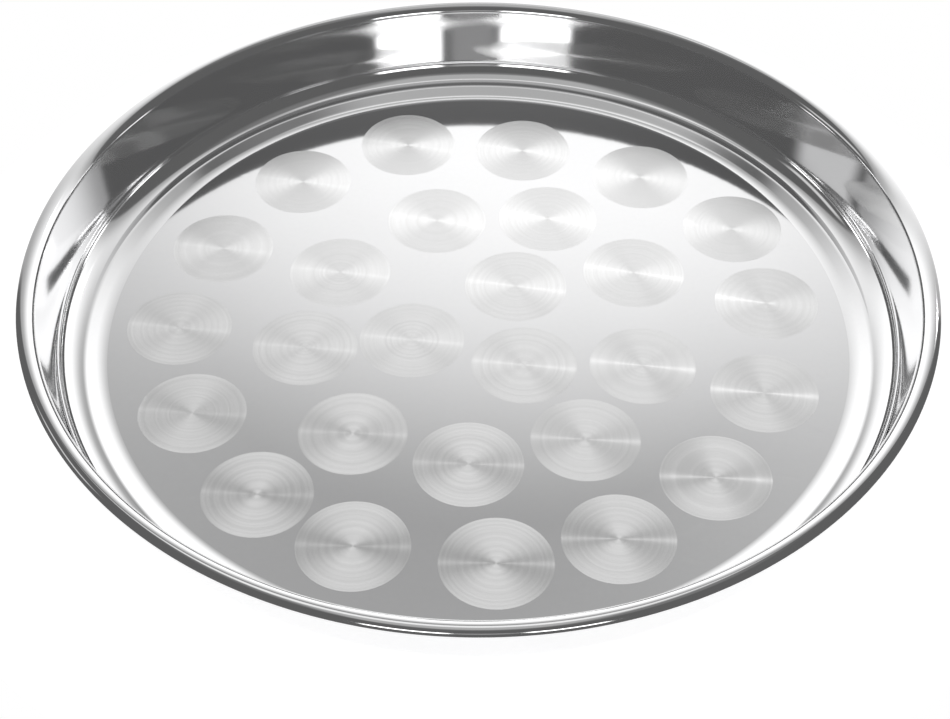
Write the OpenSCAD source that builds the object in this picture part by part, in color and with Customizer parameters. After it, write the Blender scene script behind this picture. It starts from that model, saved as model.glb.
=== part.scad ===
// Round stainless steel serving tray: one pressed sheet with its rim rolled round a wire hoop.
// Millimetres, +Z up. The origin is the centre of the underside, so the tray stands on z = 0.

/* [Tray] */
// Diameter across the rolled rim
tray_d = 400; // [300:5:500]
// Height from the table to the top of the rim
tray_h = 44; // [34:1:60]
// Thickness of the steel sheet
sheet = 0.6; // [0.4:0.1:1]

/* [Floor] */
// Radius of the slow curve that lifts the outer part of the floor, on the middle of the sheet
lift_r = 800; // [400:50:1600]
// Tilt of the floor at its edge, where it meets the step, in degrees
lift_turn = 3.5; // [1:0.5:4]

/* [Step round the floor] */
// Height of the step, from the edge of the floor up to the ledge
step_rise = 3.3; // [3:0.1:6]
// Slope of the step, in degrees from level
step_slope = 25; // [15:1:30]
// Bend radius at the foot of the step, on the middle of the sheet
step_foot_r = 14; // [2:0.5:16]
// Bend radius at the head of the step, on the middle of the sheet
step_head_r = 4; // [1:0.5:5]
// Width of the level ledge on top of the step
ledge_w = 0.4; // [0.2:0.1:8]

/* [Wall] */
// Slope of the wall, in degrees from level
wall_slope = 81; // [72:1:86]
// Radius of the cove that turns the ledge up into the wall, on its inside face
cove_r = 10; // [4:0.2:14]

/* [Rolled rim] */
// Diameter of the wire inside the rim
wire_d = 5; // [3:0.1:8]
// Gap all round between the wire and the sheet rolled over it
wire_gap = 0.1; // [0.05:0.05:0.3]
// How far the sheet is rolled round the wire past the top of the rim, in degrees
roll_turn = 240; // [200:5:250]
// How much wider than the roll the shoulder bends, where the wall turns over into the roll
shoulder_extra = 2; // [0.5:0.1:4]

/* [Hidden] */
// Facets round the tray when it is drawn
$fn = 180;
// Largest step along a bend of the profile, in degrees and in length
bend_step = 6;
bend_chord = 8;

half_sheet = sheet / 2;

// The roll on the middle of the sheet, the bead it makes outside, and the centre of both
roll_r = wire_d / 2 + wire_gap + half_sheet;
bead_r = roll_r + half_sheet;
bead_x = tray_d / 2 - bead_r;
bead_z = tray_h - bead_r;

// The shoulder on the middle of the sheet, and the place where it leaves the wall
shoulder_r = roll_r + shoulder_extra;
shoulder_x = bead_x - shoulder_r * sin(wall_slope);
shoulder_z = tray_h - half_sheet - shoulder_r * (1 - cos(wall_slope));

// Height and width of the floor's lifted part
lift_h = lift_r * (1 - cos(lift_turn));
lift_w = lift_r * sin(lift_turn);

// Heights of the step's two bends, the straight slope between them, and the width of the whole step
foot_h = step_foot_r * (cos(lift_turn) - cos(step_slope));
head_h = step_head_r * (1 - cos(step_slope));
slope_length = (step_rise - foot_h - head_h) / sin(step_slope);
step_w = step_foot_r * (sin(step_slope) - sin(lift_turn)) + step_head_r * sin(step_slope) + slope_length * cos(step_slope);

// Height and width of the cove
cove_mid_r = cove_r + half_sheet;
cove_h = cove_mid_r * (1 - cos(wall_slope));
cove_w = cove_mid_r * sin(wall_slope);

// The straight wall fills the height that is left, and the flat floor the width
wall_length = (shoulder_z - cove_h - step_rise - lift_h - half_sheet) / sin(wall_slope);
flat_r = shoulder_x - wall_length * cos(wall_slope) - cove_w - ledge_w - step_w - lift_w;

// The sheet from the middle of the floor out to its rolled edge.
// Each move is [length, 0] for a straight run, or [radius, turn] for a bend, where a plus turn bends upward.
sheet_moves = [
    [flat_r, 0],
    [lift_r, lift_turn],
    [step_foot_r, step_slope - lift_turn],
    [slope_length, 0],
    [step_head_r, -step_slope],
    [ledge_w, 0],
    [cove_mid_r, wall_slope],
    [wall_length, 0],
    [shoulder_r, -wall_slope],
    [roll_r, -roll_turn],
];

// A station is [distance from the axis, height, heading in degrees] on the middle of the sheet.
function straight_run(s, length) = [[s[0] + length * cos(s[2]), s[1] + length * sin(s[2]), s[2]]];

function bend_run(s, radius, turn) =
    let (
        chords = radius * abs(turn) * PI / 180 / bend_chord,
        steps = ceil(max(abs(turn) / bend_step, chords)),
        r = sign(turn) * radius
    )
    [
        for (i = [1:steps])
            let (heading = s[2] + turn * i / steps)
            [
                s[0] + r * (sin(heading) - sin(s[2])),
                s[1] + r * (cos(s[2]) - cos(heading)),
                heading,
            ]
    ];

function follow(moves, stations, i = 0) =
    i == len(moves) ? stations :
    let (
        last = stations[len(stations) - 1],
        next = moves[i][1] == 0 ? straight_run(last, moves[i][0]) : bend_run(last, moves[i][0], moves[i][1])
    )
    follow(moves, concat(stations, next), i + 1);

// A point on one face of the sheet: side 1 is the inside of the tray, side -1 the outside
function face_point(s, side) = [
    s[0] - side * half_sheet * sin(s[2]),
    s[1] + side * half_sheet * cos(s[2]),
];

// Section of the sheet: out along the inside face, and back along the outside face
module sheet_section() {
    stations = follow(sheet_moves, [[0, half_sheet, 0]]);
    inside = [for (s = stations) face_point(s, 1)];
    outside = [for (i = [len(stations) - 1:-1:0]) face_point(stations[i], -1)];
    polygon(concat(inside, outside));
}

// Pressed pan: floor, step, cove, wall and rolled rim in one sheet
module tray_pan() {
    color("silver")
        rotate_extrude()
            sheet_section();
}

// Hoop of round wire, butt welded into a ring, that fills the rolled rim
module rim_wire() {
    color("gray")
        rotate_extrude()
            translate([bead_x, bead_z])
                circle(r = wire_d / 2);
}

tray_pan();
rim_wire();
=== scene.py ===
import math

import bmesh
import bpy
from bpy.props import (
    FloatProperty, FloatVectorProperty, IntProperty, PointerProperty)
from mathutils import Euler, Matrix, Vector


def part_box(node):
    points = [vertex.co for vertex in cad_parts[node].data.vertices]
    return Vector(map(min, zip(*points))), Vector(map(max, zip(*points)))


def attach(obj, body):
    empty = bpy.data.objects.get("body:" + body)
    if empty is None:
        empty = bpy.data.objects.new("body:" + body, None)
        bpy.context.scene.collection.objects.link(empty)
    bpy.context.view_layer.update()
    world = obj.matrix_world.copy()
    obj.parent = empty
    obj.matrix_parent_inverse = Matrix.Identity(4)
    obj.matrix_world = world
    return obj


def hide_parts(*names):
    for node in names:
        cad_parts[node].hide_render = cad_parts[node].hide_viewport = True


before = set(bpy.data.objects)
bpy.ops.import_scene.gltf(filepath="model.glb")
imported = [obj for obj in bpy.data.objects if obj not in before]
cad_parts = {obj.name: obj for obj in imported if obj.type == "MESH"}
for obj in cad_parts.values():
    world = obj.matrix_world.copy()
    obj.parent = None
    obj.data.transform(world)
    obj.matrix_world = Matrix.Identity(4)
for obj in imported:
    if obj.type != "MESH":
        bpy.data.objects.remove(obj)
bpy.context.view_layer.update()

bl_info = {
    "name": "Serving Tray",
    "version": (1, 0, 0),
    "blender": (4, 5, 0),
    "location": "3D View > Sidebar > Tray",
    "description": (
        "Presses a round steel serving tray from one sheet and sets it in a plain studio"),
    "category": "Mesh",
}

PAN_LOW, PAN_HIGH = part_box("tray_pan")
WIRE_LOW, WIRE_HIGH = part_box("rim_wire")

# Where each turned spot stands in its ring: degrees round from +X, millimetres from the middle.
INNER_SPOTS = ((58, 33), (194, 31), (311, 31))
MIDDLE_SPOTS = (
    (27, 82), (66, 83), (105, 77), (150, 75), (189, 79), (230, 84), (267, 82), (304, 82), (342, 77))
OUTER_SPOTS = (
    (7, 134), (29, 140), (53, 134), (80, 130), (105, 137), (130, 135), (156, 133), (180, 136),
    (203, 135), (227, 135), (248, 136), (273, 135), (295, 135), (318, 134), (342, 132))
TURNED_SPOTS = INNER_SPOTS + MIDDLE_SPOTS + OUTER_SPOTS

SPOT_PLACE = "spot_place"
MILLIMETRE = 0.001
NEAR = 1e-5
LIFT_FACES = 16
CUT_PASSES = 4
SMOOTH_UP_TO = math.radians(40)
LAMP_WIDTH = math.radians(1)
WHITE = (1, 1, 1, 1)


class TraySizes(bpy.types.PropertyGroup):
    """Sizes of the pressed pan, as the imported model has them"""
    across: FloatProperty(
        name="Across", description="Diameter over the rolled rim",
        default=PAN_HIGH[0] - PAN_LOW[0], unit="LENGTH")
    height: FloatProperty(
        name="Height", description="From the underside to the top of the rim",
        default=PAN_HIGH[2] - PAN_LOW[2], unit="LENGTH")
    sheet: FloatProperty(
        name="Sheet", description="Thickness of the steel sheet",
        default=0.0006, unit="LENGTH")
    lift: FloatProperty(
        name="Lift", description="Radius of the slow curve that lifts the outer floor",
        default=0.8, unit="LENGTH")
    lift_turn: FloatProperty(
        name="Lift turn", description="Tilt of the floor at its edge",
        default=math.radians(3.5), subtype="ANGLE")
    step_rise: FloatProperty(
        name="Step rise", description="Height of the step above the edge of the floor",
        default=0.0033, unit="LENGTH")
    step_slope: FloatProperty(
        name="Step slope", description="Slope of the step, from level",
        default=math.radians(25), subtype="ANGLE")
    step_foot: FloatProperty(
        name="Step foot", description="Bend radius at the foot of the step",
        default=0.014, unit="LENGTH")
    step_head: FloatProperty(
        name="Step head", description="Bend radius at the head of the step",
        default=0.004, unit="LENGTH")
    ledge: FloatProperty(
        name="Ledge", description="Level width between the step and the cove",
        default=0.0004, unit="LENGTH")
    cove: FloatProperty(
        name="Cove", description="Inside radius where the floor turns up into the wall",
        default=0.010, unit="LENGTH")
    wall_slope: FloatProperty(
        name="Wall slope", description="Slope of the flared wall, from level",
        default=math.radians(81), subtype="ANGLE")
    shoulder_extra: FloatProperty(
        name="Shoulder", description="How much wider than the roll the wall turns over into it",
        default=0.002, unit="LENGTH")
    wire: FloatProperty(
        name="Wire", description="Diameter of the wire in the rim",
        default=WIRE_HIGH[2] - WIRE_LOW[2], unit="LENGTH")
    wire_gap: FloatProperty(
        name="Wire gap", description="Room between the wire and the sheet rolled over it",
        default=0.0001, unit="LENGTH")
    roll_turn: FloatProperty(
        name="Roll", description="How far the sheet is rolled round the wire past the rim's top",
        default=math.radians(240), subtype="ANGLE")
    spot_radius: FloatProperty(
        name="Spot radius", description="Radius of a turned spot",
        default=0.0236, unit="LENGTH")
    cut: FloatProperty(
        name="Cut", description="Longest edge of the outer floor before it is lifted",
        default=0.006, unit="LENGTH")
    around: IntProperty(
        name="Steps round", description="Faces round the pan", default=288, min=48)
    spot_sides: IntProperty(
        name="Spot sides", description="Edges round a turned spot", default=72, min=24)


class SteelFinish(bpy.types.PropertyGroup):
    """Colours and gloss of the steel"""
    steel: FloatVectorProperty(
        name="Steel", description="Colour of the polished step, wall and rim",
        default=(0.89, 0.89, 0.895), size=3, subtype="COLOR", min=0, max=1)
    rolled: FloatVectorProperty(
        name="Rolled steel", description="Colour of the floor between the spots",
        default=(0.80, 0.80, 0.805), size=3, subtype="COLOR", min=0, max=1)
    turned: FloatVectorProperty(
        name="Turned steel", description="Colour of the turned spots",
        default=(0.87, 0.87, 0.87), size=3, subtype="COLOR", min=0, max=1)
    mill: FloatVectorProperty(
        name="Mill steel", description="Colour of the underside and the wire",
        default=(0.66, 0.66, 0.665), size=3, subtype="COLOR", min=0, max=1)
    polish: FloatProperty(
        name="Polish", description="Roughness of the wall and rim",
        default=0.07, min=0, max=1, subtype="FACTOR")
    ground: FloatProperty(
        name="Ground", description="Roughness of the floor between the spots",
        default=0.06, min=0, max=1, subtype="FACTOR")
    turning: FloatProperty(
        name="Turning", description="Roughness of the spots",
        default=0.22, min=0, max=1, subtype="FACTOR")


class TrayStudio(bpy.types.PropertyGroup):
    """Light, floor and camera"""
    floor_radius: FloatProperty(
        name="Floor", description="Radius of the pale floor", default=0.262, unit="LENGTH")
    floor_colour: FloatVectorProperty(
        name="Floor colour", description="Colour of the pale floor",
        default=(0.35, 0.35, 0.35), size=3, subtype="COLOR", min=0, max=1)
    floor_white: FloatProperty(
        name="Floor white", description="Share of white that the floor shows by itself",
        default=0.97, min=0, max=1, subtype="FACTOR")
    room: FloatProperty(
        name="Room", description="Brightness of the room round the studio", default=0.12, min=0)
    backdrop: FloatProperty(
        name="Backdrop", description="Brightness of the white backdrop", default=1.25, min=0)
    backdrop_grey: FloatProperty(
        name="Backdrop grey", description="Brightness of the backdrop's grey outer part",
        default=0.42, min=0)
    backdrop_back: FloatProperty(
        name="Backdrop back", description="How far behind the tray's middle the backdrop stands",
        default=0.40, unit="LENGTH")
    backdrop_middle: FloatProperty(
        name="Backdrop middle", description="How far to the right its white part is centred",
        default=0.085, unit="LENGTH")
    backdrop_white_to: FloatProperty(
        name="White to", description="Radius out to which the backdrop is full white",
        default=0.22, unit="LENGTH")
    backdrop_grey_from: FloatProperty(
        name="Grey from", description="Radius from which the backdrop is grey",
        default=0.67, unit="LENGTH")
    backdrop_end: FloatProperty(
        name="Backdrop end", description="Radius at which the backdrop has faded out",
        default=0.78, unit="LENGTH")
    overhead: FloatProperty(
        name="Overhead", description="Brightness of the overhead panel", default=0.45, min=0)
    lamp: FloatProperty(
        name="Lamp", description="Strength of the small side lamp", default=0.16, min=0)
    lamp_turn: FloatProperty(
        name="Lamp turn", description="Turn of the lamp to the right from straight behind",
        default=math.radians(42), subtype="ANGLE")
    lamp_height: FloatProperty(
        name="Lamp height", description="Height of the lamp, up from level",
        default=math.radians(32), subtype="ANGLE")
    camera_place: FloatVectorProperty(
        name="Camera", description="Place of the camera",
        default=(-0.0015, -0.5686, 0.5599), size=3, subtype="XYZ", unit="LENGTH")
    camera_tilt: FloatProperty(
        name="Camera tilt", description="Tilt of the camera up from straight down",
        default=math.radians(44.44), subtype="ANGLE")
    lens: FloatProperty(
        name="Lens", description="Focal length in millimetres", default=66.34, min=1)


def follow_sheet(sizes):
    """The sheet's middle as two lines of (r, z) pairs: the lifted floor, and on to the roll's end."""
    half_sheet = sizes.sheet / 2
    roll_radius = sizes.wire / 2 + sizes.wire_gap + half_sheet
    bead_radius = roll_radius + half_sheet
    shoulder_radius = roll_radius + sizes.shoulder_extra
    shoulder_x = (sizes.across / 2 - bead_radius
                  - shoulder_radius * math.sin(sizes.wall_slope))
    shoulder_z = (sizes.height - half_sheet
                  - shoulder_radius * (1 - math.cos(sizes.wall_slope)))
    lift_width = sizes.lift * math.sin(sizes.lift_turn)
    lift_rise = sizes.lift * (1 - math.cos(sizes.lift_turn))
    foot_rise = sizes.step_foot * (math.cos(sizes.lift_turn) - math.cos(sizes.step_slope))
    head_rise = sizes.step_head * (1 - math.cos(sizes.step_slope))
    slope_length = (sizes.step_rise - foot_rise - head_rise) / math.sin(sizes.step_slope)
    step_width = (
        sizes.step_foot * (math.sin(sizes.step_slope) - math.sin(sizes.lift_turn))
        + sizes.step_head * math.sin(sizes.step_slope)
        + slope_length * math.cos(sizes.step_slope))
    cove_radius = sizes.cove + half_sheet
    cove_width = cove_radius * math.sin(sizes.wall_slope)
    cove_rise = cove_radius * (1 - math.cos(sizes.wall_slope))
    wall_rise = shoulder_z - half_sheet - lift_rise - sizes.step_rise - cove_rise
    wall_length = wall_rise / math.sin(sizes.wall_slope)
    flat_edge = (shoulder_x - wall_length * math.cos(sizes.wall_slope)
                 - cove_width - sizes.ledge - step_width - lift_width)

    # Each move is a length or a bend radius, the turn it makes, and its number of faces.
    moves = (
        (sizes.lift, sizes.lift_turn, LIFT_FACES),
        (sizes.step_foot, sizes.step_slope - sizes.lift_turn, 12),
        (slope_length, 0, 2),
        (sizes.step_head, -sizes.step_slope, 8),
        (sizes.ledge, 0, 1),
        (cove_radius, sizes.wall_slope, 22),
        (wall_length, 0, 5),
        (shoulder_radius, -sizes.wall_slope, 20),
        (roll_radius, -sizes.roll_turn, 40),
    )
    x, z, heading = flat_edge, half_sheet, 0.0
    line = [(x, z)]
    for length, turn, faces in moves:
        start_x, start_z, start = x, z, heading
        for face in range(1, faces + 1):
            share = face / faces
            if turn:
                radius = math.copysign(length, turn)
                heading = start + turn * share
                x = start_x + radius * (math.sin(heading) - math.sin(start))
                z = start_z + radius * (math.cos(start) - math.cos(heading))
            else:
                x = start_x + length * share * math.cos(start)
                z = start_z + length * share * math.sin(start)
            line.append((x, z))
    # The first line runs a face past the floor's edge, and the second starts a face inside it.
    return line[:LIFT_FACES + 2], line[LIFT_FACES - 1:]


def spot_centres():
    """The middle of each turned spot, as (x, y) in metres."""
    return [
        (distance * MILLIMETRE * math.cos(math.radians(angle)),
         distance * MILLIMETRE * math.sin(math.radians(angle)))
        for angle, distance in TURNED_SPOTS]


def deselect_objects():
    bpy.ops.object.select_all(action="DESELECT")


def apply_modifier(piece, kind, name, **settings):
    """Add a modifier with these settings and apply it."""
    modifier = piece.modifiers.new(name, kind)
    for setting, value in settings.items():
        setattr(modifier, setting, value)
    bpy.ops.object.modifier_apply(modifier=modifier.name)


def select_edges(piece, chosen):
    """In edit mode, select only the edges that pass the test."""
    mesh = bmesh.from_edit_mesh(piece.data)
    bpy.ops.mesh.select_all(action="DESELECT")
    for edge in mesh.edges:
        if chosen(edge):
            edge.select_set(True)
    bmesh.update_edit_mesh(piece.data)


def spin_line(line, steps):
    """In edit mode, draw a line of (r, z) pairs from a new vertex and spin it all the way round."""
    bpy.ops.mesh.primitive_plane_add(size=MILLIMETRE, location=(line[0][0], 0, line[0][1]))
    bpy.ops.mesh.merge(type="CENTER")
    for (x, z), (next_x, next_z) in zip(line, line[1:]):
        bpy.ops.mesh.extrude_vertices_move(
            TRANSFORM_OT_translate={"value": (next_x - x, 0, next_z - z)})
    bpy.ops.mesh.select_all(action="SELECT")
    bpy.ops.mesh.spin(steps=steps, angle=math.tau, center=(0, 0, 0), axis=(0, 0, 1))


def add_node(tree, kind, **settings):
    made = tree.nodes.new(kind)
    for setting, value in settings.items():
        setattr(made, setting, value)
    return made


def feed(tree, socket, value):
    """Link another socket to this one, or give it a value of its own."""
    if isinstance(value, bpy.types.NodeSocket):
        tree.links.new(value, socket)
    else:
        socket.default_value = value


def calculate(tree, operation, first, second=None, third=None):
    """A Math node on numbers or sockets; its result socket."""
    made = add_node(tree, "ShaderNodeMath", operation=operation)
    for socket, value in zip(made.inputs, (first, second, third)):
        if value is not None:
            feed(tree, socket, value)
    return made.outputs["Value"]


def ease(tree, value, start, end):
    """A smooth ramp of the value from 0 at start to 1 at end."""
    made = add_node(tree, "ShaderNodeMapRange", interpolation_type="SMOOTHSTEP")
    for name, given in (("Value", value), ("From Min", start), ("From Max", end)):
        feed(tree, made.inputs[name], given)
    return made.outputs["Result"]


def new_group(name, inputs, outputs):
    """An empty shader group with its sockets; the group with its two end nodes."""
    group = bpy.data.node_groups.new(name, "ShaderNodeTree")
    for socket, kind, default in inputs:
        made = group.interface.new_socket(socket, in_out="INPUT", socket_type=kind)
        if default is not None:
            made.default_value = default
    for socket, kind in outputs:
        group.interface.new_socket(socket, in_out="OUTPUT", socket_type=kind)
    return group, add_node(group, "NodeGroupInput"), add_node(group, "NodeGroupOutput")


def handling_marks():
    """Faint wipe marks and fine scatter that roughen bright steel unevenly."""
    name = "Handling marks"
    if name in bpy.data.node_groups:
        return bpy.data.node_groups[name]
    group, start, end = new_group(
        name,
        (("Vector", "NodeSocketVector", None), ("Roughness", "NodeSocketFloat", 0.1),
         ("Amount", "NodeSocketFloat", 0.03)),
        (("Roughness", "NodeSocketFloat"), ("Tone", "NodeSocketFloat")))
    wipes = add_node(group, "ShaderNodeTexNoise")
    wipes.inputs["Scale"].default_value = 9.0
    wipes.inputs["Detail"].default_value = 5.0
    wipes.inputs["Distortion"].default_value = 0.8
    specks = add_node(group, "ShaderNodeTexNoise")
    specks.inputs["Scale"].default_value = 420.0
    specks.inputs["Detail"].default_value = 2.0
    for texture in (wipes, specks):
        group.links.new(start.outputs["Vector"], texture.inputs["Vector"])
    speck_share, tone_swing = 0.4, 0.06
    both = calculate(
        group, "MULTIPLY_ADD", specks.outputs["Fac"], speck_share, wipes.outputs["Fac"])
    centred = calculate(group, "SUBTRACT", both, 0.5 + 0.5 * speck_share)
    rough = calculate(
        group, "MULTIPLY_ADD", centred, start.outputs["Amount"], start.outputs["Roughness"])
    group.links.new(rough, end.inputs["Roughness"])
    tone = calculate(group, "MULTIPLY_ADD", centred, tone_swing, 1.0)
    group.links.new(tone, end.inputs["Tone"])
    return group


def polishing_lines():
    """Fine lines left by polishing a pan as it turns: they run round the middle."""
    name = "Polishing lines"
    if name in bpy.data.node_groups:
        return bpy.data.node_groups[name]
    group, start, end = new_group(
        name,
        (("Vector", "NodeSocketVector", None), ("Lines per metre", "NodeSocketFloat", 1500.0)),
        (("Height", "NodeSocketFloat"),))
    place = add_node(group, "ShaderNodeSeparateXYZ")
    group.links.new(start.outputs["Vector"], place.inputs["Vector"])
    flat = add_node(group, "ShaderNodeCombineXYZ")
    group.links.new(place.outputs["X"], flat.inputs["X"])
    group.links.new(place.outputs["Y"], flat.inputs["Y"])
    out = add_node(group, "ShaderNodeVectorMath", operation="LENGTH")
    group.links.new(flat.outputs["Vector"], out.inputs[0])
    turn = calculate(group, "ARCTAN2", place.outputs["Y"], place.outputs["X"])
    lines = add_node(group, "ShaderNodeCombineXYZ")
    for axis, value in (("X", out.outputs["Value"]), ("Y", place.outputs["Z"])):
        spread = calculate(group, "MULTIPLY", value, start.outputs["Lines per metre"])
        group.links.new(spread, lines.inputs[axis])
    breaks_per_radian = 1.5
    group.links.new(calculate(group, "MULTIPLY", turn, breaks_per_radian), lines.inputs["Z"])
    grain = add_node(group, "ShaderNodeTexNoise")
    grain.inputs["Scale"].default_value = 1.0
    grain.inputs["Detail"].default_value = 3.0
    group.links.new(lines.outputs["Vector"], grain.inputs["Vector"])
    group.links.new(grain.outputs["Fac"], end.inputs["Height"])
    return group


def new_steel(name):
    """A bare metal material: the material, its tree, its shader and its object coordinates."""
    material = bpy.data.materials.new(name)
    material.use_nodes = True
    tree = material.node_tree
    shader = tree.nodes["Principled BSDF"]
    shader.inputs["Metallic"].default_value = 1.0
    place = add_node(tree, "ShaderNodeTexCoord").outputs["Object"]
    return material, tree, shader, place


def place_group(tree, group, **values):
    """Place a shader group and give its inputs their values or links."""
    made = add_node(tree, "ShaderNodeGroup")
    made.node_tree = group
    for name, value in values.items():
        feed(tree, made.inputs[name.replace("_", " ")], value)
    return made


def tint(tree, shader, colour, tone):
    """Feed the shader's colour with this colour times a tone that varies."""
    mixed = add_node(tree, "ShaderNodeVectorMath", operation="SCALE")
    mixed.inputs[0].default_value = colour
    tree.links.new(tone, mixed.inputs["Scale"])
    tree.links.new(mixed.outputs["Vector"], shader.inputs["Base Color"])


def raise_relief(tree, shader, height, depth, strength):
    """Feed the shader's normal with relief of this depth in metres."""
    bump = add_node(tree, "ShaderNodeBump")
    bump.inputs["Strength"].default_value = strength
    bump.inputs["Distance"].default_value = depth
    tree.links.new(height, bump.inputs["Height"])
    tree.links.new(bump.outputs["Normal"], shader.inputs["Normal"])


def polished_steel(finish):
    """The step, cove, wall and rim: bright, with faint lines round the pan."""
    material, tree, shader, place = new_steel("Polished wall steel")
    marks = place_group(
        tree, handling_marks(), Vector=place, Roughness=finish.polish, Amount=0.04)
    tree.links.new(marks.outputs["Roughness"], shader.inputs["Roughness"])
    tint(tree, shader, finish.steel, marks.outputs["Tone"])
    lines = place_group(tree, polishing_lines(), Vector=place)
    raise_relief(tree, shader, lines.outputs["Height"], depth=4e-6, strength=0.5)
    return material


def floor_steel(finish):
    """The floor between the spots: rolled bright, a little softer than the wall."""
    material, tree, shader, place = new_steel("Bright floor steel")
    marks = place_group(
        tree, handling_marks(), Vector=place, Roughness=finish.ground, Amount=0.05)
    tree.links.new(marks.outputs["Roughness"], shader.inputs["Roughness"])
    tint(tree, shader, finish.rolled, marks.outputs["Tone"])
    return material


def turned_steel(finish):
    """A turned spot: fine rings about its own middle, which draw the light out into fans."""
    material, tree, shader, _ = new_steel("Turned spot steel")
    spot = add_node(tree, "ShaderNodeAttribute", attribute_name=SPOT_PLACE)
    parts = add_node(tree, "ShaderNodeSeparateXYZ")
    tree.links.new(spot.outputs["Vector"], parts.inputs["Vector"])
    outward = add_node(tree, "ShaderNodeCombineXYZ")
    tree.links.new(parts.outputs["X"], outward.inputs["X"])
    tree.links.new(parts.outputs["Y"], outward.inputs["Y"])
    away = add_node(tree, "ShaderNodeVectorMath", operation="LENGTH")
    tree.links.new(outward.outputs["Vector"], away.inputs[0])
    across = add_node(tree, "ShaderNodeVectorMath", operation="NORMALIZE")
    tree.links.new(outward.outputs["Vector"], across.inputs[0])
    tree.links.new(across.outputs["Vector"], shader.inputs["Tangent"])

    rings_per_spot, spot_apart = 14.0, 7.3
    rough_swing, tone_swing = 0.06, 0.2
    rings = add_node(tree, "ShaderNodeTexNoise", noise_dimensions="2D")
    rings.inputs["Scale"].default_value = 1.0
    rings.inputs["Detail"].default_value = 2.5
    spread = add_node(tree, "ShaderNodeCombineXYZ")
    tree.links.new(
        calculate(tree, "MULTIPLY", away.outputs["Value"], rings_per_spot), spread.inputs["X"])
    tree.links.new(
        calculate(tree, "MULTIPLY", parts.outputs["Z"], spot_apart), spread.inputs["Y"])
    tree.links.new(spread.outputs["Vector"], rings.inputs["Vector"])
    centred = calculate(tree, "SUBTRACT", rings.outputs["Fac"], 0.5)
    rough = calculate(tree, "MULTIPLY_ADD", centred, rough_swing, finish.turning)
    tree.links.new(rough, shader.inputs["Roughness"])
    tint(tree, shader, finish.turned,
         calculate(tree, "MULTIPLY_ADD", centred, tone_swing, 1.0))
    raise_relief(tree, shader, rings.outputs["Fac"], depth=4e-6, strength=0.35)
    shader.inputs["Anisotropic"].default_value = 1.0
    return material


def mill_steel(finish):
    """The underside: dull mill finish with lines from the press and the trimming wheel."""
    material, tree, shader, place = new_steel("Underside mill steel")
    marks = place_group(tree, handling_marks(), Vector=place, Roughness=0.3, Amount=0.2)
    tree.links.new(marks.outputs["Roughness"], shader.inputs["Roughness"])
    tint(tree, shader, finish.mill, marks.outputs["Tone"])
    lines = place_group(tree, polishing_lines(), Vector=place, Lines_per_metre=900.0)
    raise_relief(tree, shader, lines.outputs["Height"], depth=10e-6, strength=0.6)
    return material


def wire_steel(finish):
    """The wire hoop: drawn steel with streaks along its length."""
    material, tree, shader, place = new_steel("Drawn wire steel")
    marks = place_group(tree, handling_marks(), Vector=place, Roughness=0.36, Amount=0.15)
    tree.links.new(marks.outputs["Roughness"], shader.inputs["Roughness"])
    tint(tree, shader, finish.mill, marks.outputs["Tone"])
    lines = place_group(tree, polishing_lines(), Vector=place, Lines_per_metre=3000.0)
    raise_relief(tree, shader, lines.outputs["Height"], depth=12e-6, strength=0.7)
    return material


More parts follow.
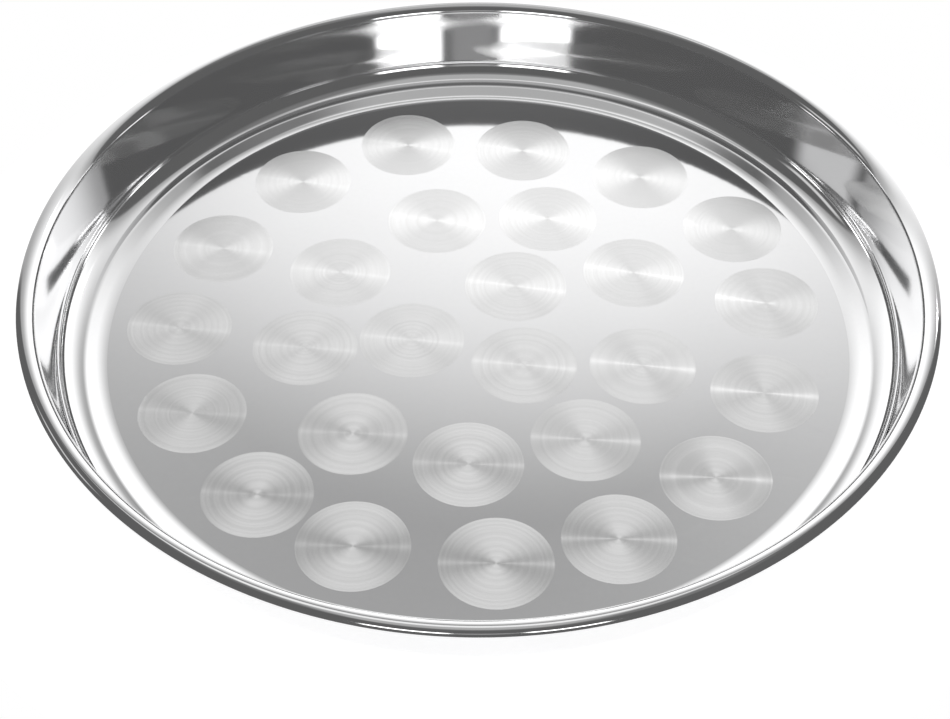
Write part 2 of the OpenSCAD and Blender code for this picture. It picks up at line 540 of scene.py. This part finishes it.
class TRAY_OT_press_pan(bpy.types.Operator):
    """Spin, fill and thicken the pan, and turn the spots into its floor"""
    bl_idname = "tray.press_pan"
    bl_label = "Press the pan"
    bl_options = {"REGISTER", "UNDO"}

    def execute(self, context):
        sizes = context.scene.tray_sizes
        finish = context.scene.tray_finish
        lifted, line = follow_sheet(sizes)
        centres = spot_centres()
        flat_edge, floor_z = lifted[0]

        deselect_objects()
        bpy.ops.mesh.primitive_circle_add(
            vertices=sizes.around, radius=line[0][0], location=(0, 0, 0))
        pan = context.active_object
        pan.name = pan.data.name = "pressed_pan"
        bpy.ops.object.mode_set(mode="EDIT")
        bpy.ops.transform.translate(value=(0, 0, floor_z))
        self.fill_floor(pan, sizes, centres, floor_z, flat_edge)
        self.lift_floor(pan, sizes, lifted)
        self.spin_wall(sizes, line)
        bpy.ops.mesh.select_all(action="SELECT")
        bpy.ops.mesh.remove_doubles(threshold=NEAR)
        bpy.ops.mesh.normals_make_consistent(inside=False)
        bpy.ops.object.mode_set(mode="OBJECT")

        apply_modifier(
            pan, "SOLIDIFY", "Sheet thickness", thickness=sizes.sheet, offset=0.0,
            use_even_offset=True, use_quality_normals=True)
        bpy.ops.object.shade_smooth_by_angle(angle=SMOOTH_UP_TO)
        apply_modifier(
            pan, "WEIGHTED_NORMAL", "True bends", weight=80, keep_sharp=True)

        self.lay_finishes(pan, sizes, finish, line, centres)
        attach(pan, "root")
        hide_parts("tray_pan")
        return {"FINISHED"}

    def fill_floor(self, pan, sizes, centres, floor_z, flat_edge):
        """Fill the floor's ring in edit mode, with each spot as a fan of faces of its own."""
        for x, y in centres:
            bpy.ops.mesh.primitive_circle_add(
                vertices=sizes.spot_sides, radius=sizes.spot_radius, location=(x, y, floor_z))
        bpy.ops.mesh.select_mode(type="EDGE")
        bpy.ops.mesh.select_all(action="SELECT")
        bpy.ops.mesh.fill(use_beauty=True)
        for centre in centres:
            middle = Vector(centre)

            def rings_spot(edge):
                return len(edge.link_faces) < 2 and all(
                    (end.co.xy - middle).length < sizes.spot_radius + NEAR
                    for end in edge.verts)
            select_edges(pan, rings_spot)
            bpy.ops.mesh.edge_face_add()
            bpy.ops.mesh.poke()

        def is_long(edge):
            middle = (edge.verts[0].co + edge.verts[1].co) / 2
            return middle.xy.length > flat_edge and edge.calc_length() > sizes.cut
        for _ in range(CUT_PASSES):
            select_edges(pan, is_long)
            bpy.ops.mesh.subdivide(number_cuts=1)

    def lift_floor(self, pan, sizes, lifted):
        """Press the outer floor onto a former that has its slow curve, spun for the purpose."""
        bpy.ops.object.mode_set(mode="OBJECT")
        deselect_objects()
        bpy.ops.mesh.primitive_plane_add(size=sizes.across, location=(0, 0, 0))
        former = bpy.context.active_object
        bpy.ops.object.mode_set(mode="EDIT")
        bpy.ops.mesh.select_mode(type="VERT")
        bpy.ops.mesh.delete(type="VERT")
        spin_line(lifted, sizes.around)
        bpy.ops.object.mode_set(mode="OBJECT")
        deselect_objects()
        pan.select_set(True)
        bpy.context.view_layer.objects.active = pan
        apply_modifier(
            pan, "SHRINKWRAP", "Lifted floor", target=former, wrap_method="PROJECT",
            use_project_z=True, use_negative_direction=True)
        bpy.data.objects.remove(former)
        bpy.ops.object.mode_set(mode="EDIT")

    def spin_wall(self, sizes, line):
        """Draw the sheet's line from the floor's edge to the roll and spin it round."""
        bpy.ops.mesh.select_mode(type="VERT")
        bpy.ops.mesh.select_all(action="SELECT")
        bpy.ops.mesh.hide(unselected=False)
        spin_line(line, sizes.around)
        bpy.ops.mesh.reveal()

    def lay_finishes(self, pan, sizes, finish, line, centres):
        """Give each face its finish by its place, and each spot its own coordinates."""
        polished, ground, turned, underside = range(4)
        for material in (polished_steel(finish), floor_steel(finish),
                         turned_steel(finish), mill_steel(finish)):
            pan.data.materials.append(material)
        place = pan.data.attributes.new(SPOT_PLACE, "FLOAT_VECTOR", "CORNER")
        middles = [Vector(centre) for centre in centres]
        for face in pan.data.polygons:
            out = face.center.xy.length
            if out > line[1][0]:
                face.material_index = polished
                continue
            if face.normal.z < 0:
                face.material_index = underside
                continue
            face.material_index = ground
            for index, middle in enumerate(middles):
                if (face.center.xy - middle).length < sizes.spot_radius:
                    face.material_index = turned
                    for corner in face.loop_indices:
                        vertex = pan.data.vertices[pan.data.loops[corner].vertex_index]
                        local = (vertex.co.xy - middle) / sizes.spot_radius
                        place.data[corner].vector = (local.x, local.y, index)
                    break


class TRAY_OT_finish_wire(bpy.types.Operator):
    """Give the wire hoop inside the rim its drawn finish"""
    bl_idname = "tray.finish_wire"
    bl_label = "Finish the wire"
    bl_options = {"REGISTER", "UNDO"}

    def execute(self, context):
        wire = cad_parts["rim_wire"]
        wire.data.materials.clear()
        wire.data.materials.append(wire_steel(context.scene.tray_finish))
        return {"FINISHED"}


def studio_panel():
    """A soft-edged panel of the studio, as a mask over azimuth and elevation in degrees."""
    group, start, end = new_group(
        "Studio panel",
        (("Azimuth", "NodeSocketFloat", 0.0), ("Elevation", "NodeSocketFloat", 0.0),
         ("Middle", "NodeSocketFloat", 0.0), ("Half width", "NodeSocketFloat", 30.0),
         ("Low", "NodeSocketFloat", 0.0), ("High", "NodeSocketFloat", 45.0),
         ("Edge", "NodeSocketFloat", 5.0)),
        (("Mask", "NodeSocketFloat"),))
    edge = start.outputs["Edge"]
    aside = calculate(
        group, "ABSOLUTE",
        calculate(group, "SUBTRACT", start.outputs["Azimuth"], start.outputs["Middle"]))
    width = start.outputs["Half width"]
    within = ease(
        group, aside, calculate(group, "ADD", width, edge),
        calculate(group, "SUBTRACT", width, edge))
    height = start.outputs["Elevation"]
    above = ease(
        group, height, calculate(group, "SUBTRACT", start.outputs["Low"], edge),
        calculate(group, "ADD", start.outputs["Low"], edge))
    below = ease(
        group, height, calculate(group, "ADD", start.outputs["High"], edge),
        calculate(group, "SUBTRACT", start.outputs["High"], edge))
    mask = calculate(group, "MULTIPLY", calculate(group, "MULTIPLY", within, above), below)
    group.links.new(mask, end.inputs["Mask"])
    return group


class TRAY_OT_set_stage(bpy.types.Operator):
    """Lay the pale floor, light the room, hang the backdrop and the lamp, and place the camera"""
    bl_idname = "tray.set_stage"
    bl_label = "Set the stage"
    bl_options = {"REGISTER", "UNDO"}

    def execute(self, context):
        studio = context.scene.tray_studio
        self.lay_floor(studio)
        self.light_room(context.scene, studio)
        self.hang_backdrop(studio)
        self.hang_lamp(studio)
        self.place_camera(context.scene, studio)
        context.scene.view_settings.view_transform = "Standard"
        return {"FINISHED"}

    def lay_floor(self, studio):
        """A pale disc that takes the tray's shadow and shows white by itself."""
        deselect_objects()
        bpy.ops.mesh.primitive_circle_add(
            vertices=128, radius=studio.floor_radius, fill_type="NGON", location=(0, 0, 0))
        floor = bpy.context.active_object
        floor.name = "studio_floor"
        material = bpy.data.materials.new("Pale floor")
        material.use_nodes = True
        tree = material.node_tree
        tree.nodes.clear()
        matt = add_node(tree, "ShaderNodeBsdfDiffuse")
        matt.inputs["Color"].default_value = (*studio.floor_colour, 1)
        white = add_node(tree, "ShaderNodeEmission")
        rays = add_node(tree, "ShaderNodeLightPath")
        seen = calculate(
            tree, "MAXIMUM", rays.outputs["Is Camera Ray"], rays.outputs["Is Glossy Ray"])
        tree.links.new(
            calculate(tree, "MULTIPLY", seen, studio.floor_white), white.inputs["Strength"])
        blend = add_node(tree, "ShaderNodeAddShader")
        tree.links.new(matt.outputs["BSDF"], blend.inputs[0])
        tree.links.new(white.outputs["Emission"], blend.inputs[1])
        end = add_node(tree, "ShaderNodeOutputMaterial")
        tree.links.new(blend.outputs["Shader"], end.inputs["Surface"])
        material.cycles.emission_sampling = "NONE"
        floor.data.materials.append(material)

    def light_room(self, scene, studio):
        """A dim room with soft panels, which looks plain white to the camera."""
        world = bpy.data.worlds.new("Studio")
        scene.world = world
        world.use_nodes = True
        tree = world.node_tree
        tree.nodes.clear()
        toward = add_node(tree, "ShaderNodeTexCoord").outputs["Generated"]
        parts = add_node(tree, "ShaderNodeSeparateXYZ")
        tree.links.new(toward, parts.inputs["Vector"])
        azimuth = calculate(
            tree, "DEGREES",
            calculate(tree, "ARCTAN2", parts.outputs["X"], parts.outputs["Y"]))
        elevation = calculate(
            tree, "DEGREES", calculate(tree, "ARCSINE", parts.outputs["Z"]))
        aside = calculate(tree, "DEGREES", calculate(tree, "ARCSINE", parts.outputs["X"]))
        over = calculate(
            tree, "DEGREES",
            calculate(tree, "ARCTAN2", parts.outputs["Z"], parts.outputs["Y"]))
        panel = studio_panel()

        def hang(light, mask, level):
            """Change the light to this level where the mask is."""
            mix = add_node(tree, "ShaderNodeMix", data_type="FLOAT")
            for name, given in (("Factor", mask), ("A", light), ("B", level)):
                feed(tree, mix.inputs[name], given)
            return mix.outputs["Result"]

        # The angles a panel is laid out by, its brightness, and in degrees its middle, half width,
        # lowest and highest edge, and the softness of its edges.
        # A later panel covers an earlier one.
        round_about, over_head = (azimuth, elevation), (aside, over)
        panels = (
            # The ceiling
            (round_about, 0.2, 0, 200, 62, 100, 6),
            # The run from above the backdrop over the tray, its bright lower part and its head
            (over_head, 0.45, -3.0, 14.5, 54, 108, 5),
            (over_head, 0.95, -3.0, 14.5, 54, 78, 5),
            (over_head, studio.overhead, 0.0, 12.0, 79, 100, 4),
            # The dim panel behind the camera
            (over_head, 0.33, 1.4, 5.5, 157, 169, 2),
            # The two bright strips beside the camera, and the one at the left
            (round_about, 2.8, 162.0, 8.2, 11, 22, 1.2),
            (round_about, 2.8, -165.2, 8.8, 11, 22, 1.2),
            (round_about, 0.7, -79, 10, 18, 28, 3),
        )
        light = studio.room
        for (turned, raised), level, middle, half_width, low, high, edge in panels:
            hung = place_group(
                tree, panel, Azimuth=turned, Elevation=raised, Middle=middle,
                Half_width=half_width, Low=low, High=high, Edge=edge)
            light = hang(light, hung.outputs["Mask"], level)
        room = add_node(tree, "ShaderNodeBackground")
        tree.links.new(light, room.inputs["Strength"])
        room.inputs["Color"].default_value = WHITE
        white = add_node(tree, "ShaderNodeBackground")
        white.inputs["Color"].default_value = WHITE
        rays = add_node(tree, "ShaderNodeLightPath")
        blend = add_node(tree, "ShaderNodeMixShader")
        tree.links.new(rays.outputs["Is Camera Ray"], blend.inputs["Fac"])
        tree.links.new(room.outputs["Background"], blend.inputs[1])
        tree.links.new(white.outputs["Background"], blend.inputs[2])
        end = add_node(tree, "ShaderNodeOutputWorld")
        tree.links.new(blend.outputs["Shader"], end.inputs["Surface"])

    def hang_backdrop(self, studio):
        """A white sheet behind the tray that fades outward to grey and then to nothing."""
        deselect_objects()
        bpy.ops.mesh.primitive_plane_add(
            size=2 * studio.backdrop_end, location=(0, studio.backdrop_back, 0),
            rotation=(math.pi / 2, 0, 0))
        bpy.ops.object.transform_apply()
        sheet = bpy.context.active_object
        sheet.name = "studio_backdrop"
        sheet.visible_camera = sheet.visible_shadow = False
        material = bpy.data.materials.new("White backdrop")
        material.use_nodes = True
        tree = material.node_tree
        tree.nodes.clear()
        parts = add_node(tree, "ShaderNodeSeparateXYZ")
        tree.links.new(
            add_node(tree, "ShaderNodeTexCoord").outputs["Object"], parts.inputs["Vector"])
        aside = calculate(tree, "SUBTRACT", parts.outputs["X"], studio.backdrop_middle)
        above = calculate(tree, "MAXIMUM", parts.outputs["Z"], 0.0)
        away = calculate(
            tree, "SQRT", calculate(
                tree, "MULTIPLY_ADD", aside, aside, calculate(tree, "MULTIPLY", above, above)))
        white = ease(tree, away, studio.backdrop_grey_from, studio.backdrop_white_to)
        light = add_node(tree, "ShaderNodeEmission")
        tree.links.new(
            calculate(tree, "MULTIPLY_ADD", white, studio.backdrop - studio.backdrop_grey,
                      studio.backdrop_grey),
            light.inputs["Strength"])
        clear = add_node(tree, "ShaderNodeBsdfTransparent")
        blend = add_node(tree, "ShaderNodeMixShader")
        tree.links.new(
            ease(tree, away, studio.backdrop_end, studio.backdrop_grey_from),
            blend.inputs["Fac"])
        tree.links.new(clear.outputs["BSDF"], blend.inputs[1])
        tree.links.new(light.outputs["Emission"], blend.inputs[2])
        end = add_node(tree, "ShaderNodeOutputMaterial")
        tree.links.new(blend.outputs["Shader"], end.inputs["Surface"])
        material.cycles.emission_sampling = "NONE"
        sheet.data.materials.append(material)

    def hang_lamp(self, studio):
        """A small far lamp, which draws the thin line across each turned spot."""
        deselect_objects()
        away = Vector((0, 0, 1))
        away.rotate(Euler((-math.pi / 2 + studio.lamp_height, 0, -studio.lamp_turn)))
        bpy.ops.object.light_add(type="SUN", rotation=away.to_track_quat("Z", "Y").to_euler())
        lamp = bpy.context.active_object
        lamp.name = "side_lamp"
        lamp.data.energy = studio.lamp
        lamp.data.angle = LAMP_WIDTH

    def place_camera(self, scene, studio):
        """The camera in front of the tray, looking down at it."""
        deselect_objects()
        bpy.ops.object.camera_add(
            location=studio.camera_place, rotation=(studio.camera_tilt, 0, 0))
        camera = bpy.context.active_object
        camera.data.sensor_fit = "HORIZONTAL"
        camera.data.sensor_width = 36
        camera.data.lens = studio.lens
        scene.camera = camera


class TRAY_PT_sidebar(bpy.types.Panel):
    """The tray's steps and sizes"""
    bl_idname = "TRAY_PT_sidebar"
    bl_label = "Serving Tray"
    bl_space_type = "VIEW_3D"
    bl_region_type = "UI"
    bl_category = "Tray"

    def draw(self, context):
        for operator in OPERATORS:
            self.layout.operator(operator.bl_idname)
        for group in (context.scene.tray_sizes, context.scene.tray_finish,
                      context.scene.tray_studio):
            box = self.layout.box()
            for name in group.__annotations__:
                box.prop(group, name)


GROUPS = {"tray_sizes": TraySizes, "tray_finish": SteelFinish, "tray_studio": TrayStudio}
OPERATORS = (TRAY_OT_press_pan, TRAY_OT_finish_wire, TRAY_OT_set_stage)
CLASSES = (*GROUPS.values(), *OPERATORS, TRAY_PT_sidebar)


def register():
    for made in CLASSES:
        bpy.utils.register_class(made)
    for name, group in GROUPS.items():
        setattr(bpy.types.Scene, name, PointerProperty(type=group))


def unregister():
    for name in GROUPS:
        delattr(bpy.types.Scene, name)
    for made in reversed(CLASSES):
        bpy.utils.unregister_class(made)


def main():
    register()
    bpy.ops.tray.press_pan()
    bpy.ops.tray.finish_wire()
    bpy.ops.tray.set_stage()


if __name__ == "__main__":
    main()
